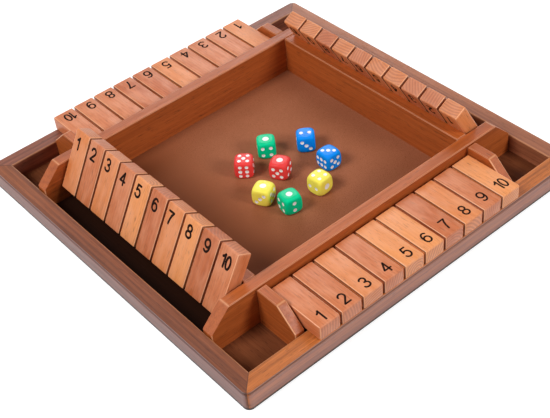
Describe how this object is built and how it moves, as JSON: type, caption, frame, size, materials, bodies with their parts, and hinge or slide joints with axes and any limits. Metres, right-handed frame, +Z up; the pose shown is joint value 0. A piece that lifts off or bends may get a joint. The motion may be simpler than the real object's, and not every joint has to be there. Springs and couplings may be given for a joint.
{
  "type": "shut the box game",
  "caption": "Square four-player shut the box board of walnut-coloured wood, with a lined dice tray, hinged number tiles on each side and coloured dice.",
  "frame": {"origin": "centre of the board's underside", "axes": "+Z up out of the tray, +X towards the right-hand player, +Y towards the back player; each row of tiles is named for the side that it is on"},
  "size_m": [0.342, 0.341, 0.065],
  "materials": {
    "walnut": "satin lacquered walnut-coloured hardwood",
    "base_wood": "stained plywood with a satin lacquer",
    "lining": "matte brown leatherette",
    "tile_wood": "satin lacquered, lighter reddish hardwood with printed black numbers",
    "steel": "drawn steel rod",
    "red_plastic": "polished opaque plastic with white pips",
    "yellow_plastic": "polished opaque plastic with white pips",
    "green_plastic": "polished opaque plastic with white pips",
    "blue_plastic": "polished opaque plastic with white pips"
  },
  "bodies": {
    "board": {"base_panel": "base_wood", "tray_lining": "lining", "front_frame_board": "walnut", "right_frame_board": "walnut", "back_frame_board": "walnut", "left_frame_board": "walnut", "left_long_wall": "walnut", "right_long_wall": "walnut", "front_short_wall": "walnut", "back_short_wall": "walnut", "row_end_cheeks": "walnut", "pivot_rods": "steel"},
    "front_tile_1": {"front_tile_1": "tile_wood"},
    "front_tile_2": {"front_tile_2": "tile_wood"},
    "front_tile_3": {"front_tile_3": "tile_wood"},
    "front_tile_4": {"front_tile_4": "tile_wood"},
    "front_tile_5": {"front_tile_5": "tile_wood"},
    "front_tile_6": {"front_tile_6": "tile_wood"},
    "front_tile_7": {"front_tile_7": "tile_wood"},
    "front_tile_8": {"front_tile_8": "tile_wood"},
    "front_tile_9": {"front_tile_9": "tile_wood"},
    "front_tile_10": {"front_tile_10": "tile_wood"},
    "right_tile_1": {"right_tile_1": "tile_wood"},
    "right_tile_2": {"right_tile_2": "tile_wood"},
    "right_tile_3": {"right_tile_3": "tile_wood"},
    "right_tile_4": {"right_tile_4": "tile_wood"},
    "right_tile_5": {"right_tile_5": "tile_wood"},
    "right_tile_6": {"right_tile_6": "tile_wood"},
    "right_tile_7": {"right_tile_7": "tile_wood"},
    "right_tile_8": {"right_tile_8": "tile_wood"},
    "right_tile_9": {"right_tile_9": "tile_wood"},
    "right_tile_10": {"right_tile_10": "tile_wood"},
    "back_tile_1": {"back_tile_1": "tile_wood"},
    "back_tile_2": {"back_tile_2": "tile_wood"},
    "back_tile_3": {"back_tile_3": "tile_wood"},
    "back_tile_4": {"back_tile_4": "tile_wood"},
    "back_tile_5": {"back_tile_5": "tile_wood"},
    "back_tile_6": {"back_tile_6": "tile_wood"},
    "back_tile_7": {"back_tile_7": "tile_wood"},
    "back_tile_8": {"back_tile_8": "tile_wood"},
    "back_tile_9": {"back_tile_9": "tile_wood"},
    "back_tile_10": {"back_tile_10": "tile_wood"},
    "left_tile_1": {"left_tile_1": "tile_wood"},
    "left_tile_2": {"left_tile_2": "tile_wood"},
    "left_tile_3": {"left_tile_3": "tile_wood"},
    "left_tile_4": {"left_tile_4": "tile_wood"},
    "left_tile_5": {"left_tile_5": "tile_wood"},
    "left_tile_6": {"left_tile_6": "tile_wood"},
    "left_tile_7": {"left_tile_7": "tile_wood"},
    "left_tile_8": {"left_tile_8": "tile_wood"},
    "left_tile_9": {"left_tile_9": "tile_wood"},
    "left_tile_10": {"left_tile_10": "tile_wood"},
    "red_die_1": {"red_die_1": "red_plastic"},
    "red_die_2": {"red_die_2": "red_plastic"},
    "yellow_die_1": {"yellow_die_1": "yellow_plastic"},
    "yellow_die_2": {"yellow_die_2": "yellow_plastic"},
    "green_die_1": {"green_die_1": "green_plastic"},
    "green_die_2": {"green_die_2": "green_plastic"},
    "blue_die_1": {"blue_die_1": "blue_plastic"},
    "blue_die_2": {"blue_die_2": "blue_plastic"}
  },
  "joints": [
    {"name": "front_tile_1_hinge", "type": "hinge", "parent": "board", "child": "front_tile_1", "pos_m": [-0.0938, -0.13, 0.0266], "axis": [1, 0, 0], "range_deg": [0, 119.6]},
    {"name": "front_tile_2_hinge", "type": "hinge", "parent": "board", "child": "front_tile_2", "pos_m": [-0.07296, -0.13, 0.0266], "axis": [1, 0, 0], "range_deg": [0, 119.6]},
    {"name": "front_tile_3_hinge", "type": "hinge", "parent": "board", "child": "front_tile_3", "pos_m": [-0.05211, -0.13, 0.0266], "axis": [1, 0, 0], "range_deg": [0, 119.6]},
    {"name": "front_tile_4_hinge", "type": "hinge", "parent": "board", "child": "front_tile_4", "pos_m": [-0.03127, -0.13, 0.0266], "axis": [1, 0, 0], "range_deg": [0, 119.6]},
    {"name": "front_tile_5_hinge", "type": "hinge", "parent": "board", "child": "front_tile_5", "pos_m": [-0.01042, -0.13, 0.0266], "axis": [1, 0, 0], "range_deg": [0, 119.6]},
    {"name": "front_tile_6_hinge", "type": "hinge", "parent": "board", "child": "front_tile_6", "pos_m": [0.01042, -0.13, 0.0266], "axis": [1, 0, 0], "range_deg": [0, 119.6]},
    {"name": "front_tile_7_hinge", "type": "hinge", "parent": "board", "child": "front_tile_7", "pos_m": [0.03127, -0.13, 0.0266], "axis": [1, 0, 0], "range_deg": [0, 119.6]},
    {"name": "front_tile_8_hinge", "type": "hinge", "parent": "board", "child": "front_tile_8", "pos_m": [0.05211, -0.13, 0.0266], "axis": [1, 0, 0], "range_deg": [0, 119.6]},
    {"name": "front_tile_9_hinge", "type": "hinge", "parent": "board", "child": "front_tile_9", "pos_m": [0.07296, -0.13, 0.0266], "axis": [1, 0, 0], "range_deg": [0, 119.6]},
    {"name": "front_tile_10_hinge", "type": "hinge", "parent": "board", "child": "front_tile_10", "pos_m": [0.0938, -0.13, 0.0266], "axis": [1, 0, 0], "range_deg": [0, 119.6]},
    {"name": "right_tile_1_hinge", "type": "hinge", "parent": "board", "child": "right_tile_1", "pos_m": [0.13, -0.0938, 0.0266], "axis": [0, -1, 0], "range_deg": [0, 119.6]},
    {"name": "right_tile_2_hinge", "type": "hinge", "parent": "board", "child": "right_tile_2", "pos_m": [0.13, -0.07296, 0.0266], "axis": [0, -1, 0], "range_deg": [0, 119.6]},
    {"name": "right_tile_3_hinge", "type": "hinge", "parent": "board", "child": "right_tile_3", "pos_m": [0.13, -0.05211, 0.0266], "axis": [0, -1, 0], "range_deg": [0, 119.6]},
    {"name": "right_tile_4_hinge", "type": "hinge", "parent": "board", "child": "right_tile_4", "pos_m": [0.13, -0.03127, 0.0266], "axis": [0, -1, 0], "range_deg": [0, 119.6]},
    {"name": "right_tile_5_hinge", "type": "hinge", "parent": "board", "child": "right_tile_5", "pos_m": [0.13, -0.01042, 0.0266], "axis": [0, -1, 0], "range_deg": [0, 119.6]},
    {"name": "right_tile_6_hinge", "type": "hinge", "parent": "board", "child": "right_tile_6", "pos_m": [0.13, 0.01042, 0.0266], "axis": [0, -1, 0], "range_deg": [0, 119.6]},
    {"name": "right_tile_7_hinge", "type": "hinge", "parent": "board", "child": "right_tile_7", "pos_m": [0.13, 0.03127, 0.0266], "axis": [0, -1, 0], "range_deg": [0, 119.6]},
    {"name": "right_tile_8_hinge", "type": "hinge", "parent": "board", "child": "right_tile_8", "pos_m": [0.13, 0.05211, 0.0266], "axis": [0, -1, 0], "range_deg": [0, 119.6]},
    {"name": "right_tile_9_hinge", "type": "hinge", "parent": "board", "child": "right_tile_9", "pos_m": [0.13, 0.07296, 0.0266], "axis": [0, -1, 0], "range_deg": [0, 119.6]},
    {"name": "right_tile_10_hinge", "type": "hinge", "parent": "board", "child": "right_tile_10", "pos_m": [0.13, 0.0938, 0.0266], "axis": [0, -1, 0], "range_deg": [0, 119.6]},
    {"name": "back_tile_1_hinge", "type": "hinge", "parent": "board", "child": "back_tile_1", "pos_m": [0.0938, 0.13, 0.0266], "axis": [-1, 0, 0], "range_deg": [0, 119.6]},
    {"name": "back_tile_2_hinge", "type": "hinge", "parent": "board", "child": "back_tile_2", "pos_m": [0.07296, 0.13, 0.0266], "axis": [-1, 0, 0], "range_deg": [0, 119.6]},
    {"name": "back_tile_3_hinge", "type": "hinge", "parent": "board", "child": "back_tile_3", "pos_m": [0.05211, 0.13, 0.0266], "axis": [-1, 0, 0], "range_deg": [0, 119.6]},
    {"name": "back_tile_4_hinge", "type": "hinge", "parent": "board", "child": "back_tile_4", "pos_m": [0.03127, 0.13, 0.0266], "axis": [-1, 0, 0], "range_deg": [0, 119.6]},
    {"name": "back_tile_5_hinge", "type": "hinge", "parent": "board", "child": "back_tile_5", "pos_m": [0.01042, 0.13, 0.0266], "axis": [-1, 0, 0], "range_deg": [0, 119.6]},
    {"name": "back_tile_6_hinge", "type": "hinge", "parent": "board", "child": "back_tile_6", "pos_m": [-0.01042, 0.13, 0.0266], "axis": [-1, 0, 0], "range_deg": [0, 119.6]},
    {"name": "back_tile_7_hinge", "type": "hinge", "parent": "board", "child": "back_tile_7", "pos_m": [-0.03127, 0.13, 0.0266], "axis": [-1, 0, 0], "range_deg": [0, 119.6]},
    {"name": "back_tile_8_hinge", "type": "hinge", "parent": "board", "child": "back_tile_8", "pos_m": [-0.05211, 0.13, 0.0266], "axis": [-1, 0, 0], "range_deg": [0, 119.6]},
    {"name": "back_tile_9_hinge", "type": "hinge", "parent": "board", "child": "back_tile_9", "pos_m": [-0.07296, 0.13, 0.0266], "axis": [-1, 0, 0], "range_deg": [0, 119.6]},
    {"name": "back_tile_10_hinge", "type": "hinge", "parent": "board", "child": "back_tile_10", "pos_m": [-0.0938, 0.13, 0.0266], "axis": [-1, 0, 0], "range_deg": [0, 119.6]},
    {"name": "left_tile_1_hinge", "type": "hinge", "parent": "board", "child": "left_tile_1", "pos_m": [-0.13, 0.0938, 0.0266], "axis": [0, 1, 0], "range_deg": [0, 119.6]},
    {"name": "left_tile_2_hinge", "type": "hinge", "parent": "board", "child": "left_tile_2", "pos_m": [-0.13, 0.07296, 0.0266], "axis": [0, 1, 0], "range_deg": [0, 119.6]},
    {"name": "left_tile_3_hinge", "type": "hinge", "parent": "board", "child": "left_tile_3", "pos_m": [-0.13, 0.05211, 0.0266], "axis": [0, 1, 0], "range_deg": [0, 119.6]},
    {"name": "left_tile_4_hinge", "type": "hinge", "parent": "board", "child": "left_tile_4", "pos_m": [-0.13, 0.03127, 0.0266], "axis": [0, 1, 0], "range_deg": [0, 119.6]},
    {"name": "left_tile_5_hinge", "type": "hinge", "parent": "board", "child": "left_tile_5", "pos_m": [-0.13, 0.01042, 0.0266], "axis": [0, 1, 0], "range_deg": [0, 119.6]},
    {"name": "left_tile_6_hinge", "type": "hinge", "parent": "board", "child": "left_tile_6", "pos_m": [-0.13, -0.01042, 0.0266], "axis": [0, 1, 0], "range_deg": [0, 119.6]},
    {"name": "left_tile_7_hinge", "type": "hinge", "parent": "board", "child": "left_tile_7", "pos_m": [-0.13, -0.03127, 0.0266], "axis": [0, 1, 0], "range_deg": [0, 119.6]},
    {"name": "left_tile_8_hinge", "type": "hinge", "parent": "board", "child": "left_tile_8", "pos_m": [-0.13, -0.05211, 0.0266], "axis": [0, 1, 0], "range_deg": [0, 119.6]},
    {"name": "left_tile_9_hinge", "type": "hinge", "parent": "board", "child": "left_tile_9", "pos_m": [-0.13, -0.07296, 0.0266], "axis": [0, 1, 0], "range_deg": [0, 119.6]},
    {"name": "left_tile_10_hinge", "type": "hinge", "parent": "board", "child": "left_tile_10", "pos_m": [-0.13, -0.0938, 0.0266], "axis": [0, 1, 0], "range_deg": [0, 119.6]},
    {"name": "red_die_1_lift", "type": "slide", "parent": "board", "child": "red_die_1", "axis": [0, 0, 1], "range_m": [0, 0.1]},
    {"name": "red_die_2_lift", "type": "slide", "parent": "board", "child": "red_die_2", "axis": [0, 0, 1], "range_m": [0, 0.1]},
    {"name": "yellow_die_1_lift", "type": "slide", "parent": "board", "child": "yellow_die_1", "axis": [0, 0, 1], "range_m": [0, 0.1]},
    {"name": "yellow_die_2_lift", "type": "slide", "parent": "board", "child": "yellow_die_2", "axis": [0, 0, 1], "range_m": [0, 0.1]},
    {"name": "green_die_1_lift", "type": "slide", "parent": "board", "child": "green_die_1", "axis": [0, 0, 1], "range_m": [0, 0.1]},
    {"name": "green_die_2_lift", "type": "slide", "parent": "board", "child": "green_die_2", "axis": [0, 0, 1], "range_m": [0, 0.1]},
    {"name": "blue_die_1_lift", "type": "slide", "parent": "board", "child": "blue_die_1", "axis": [0, 0, 1], "range_m": [0, 0.1]},
    {"name": "blue_die_2_lift", "type": "slide", "parent": "board", "child": "blue_die_2", "axis": [0, 0, 1], "range_m": [0, 0.1]}
  ]
}
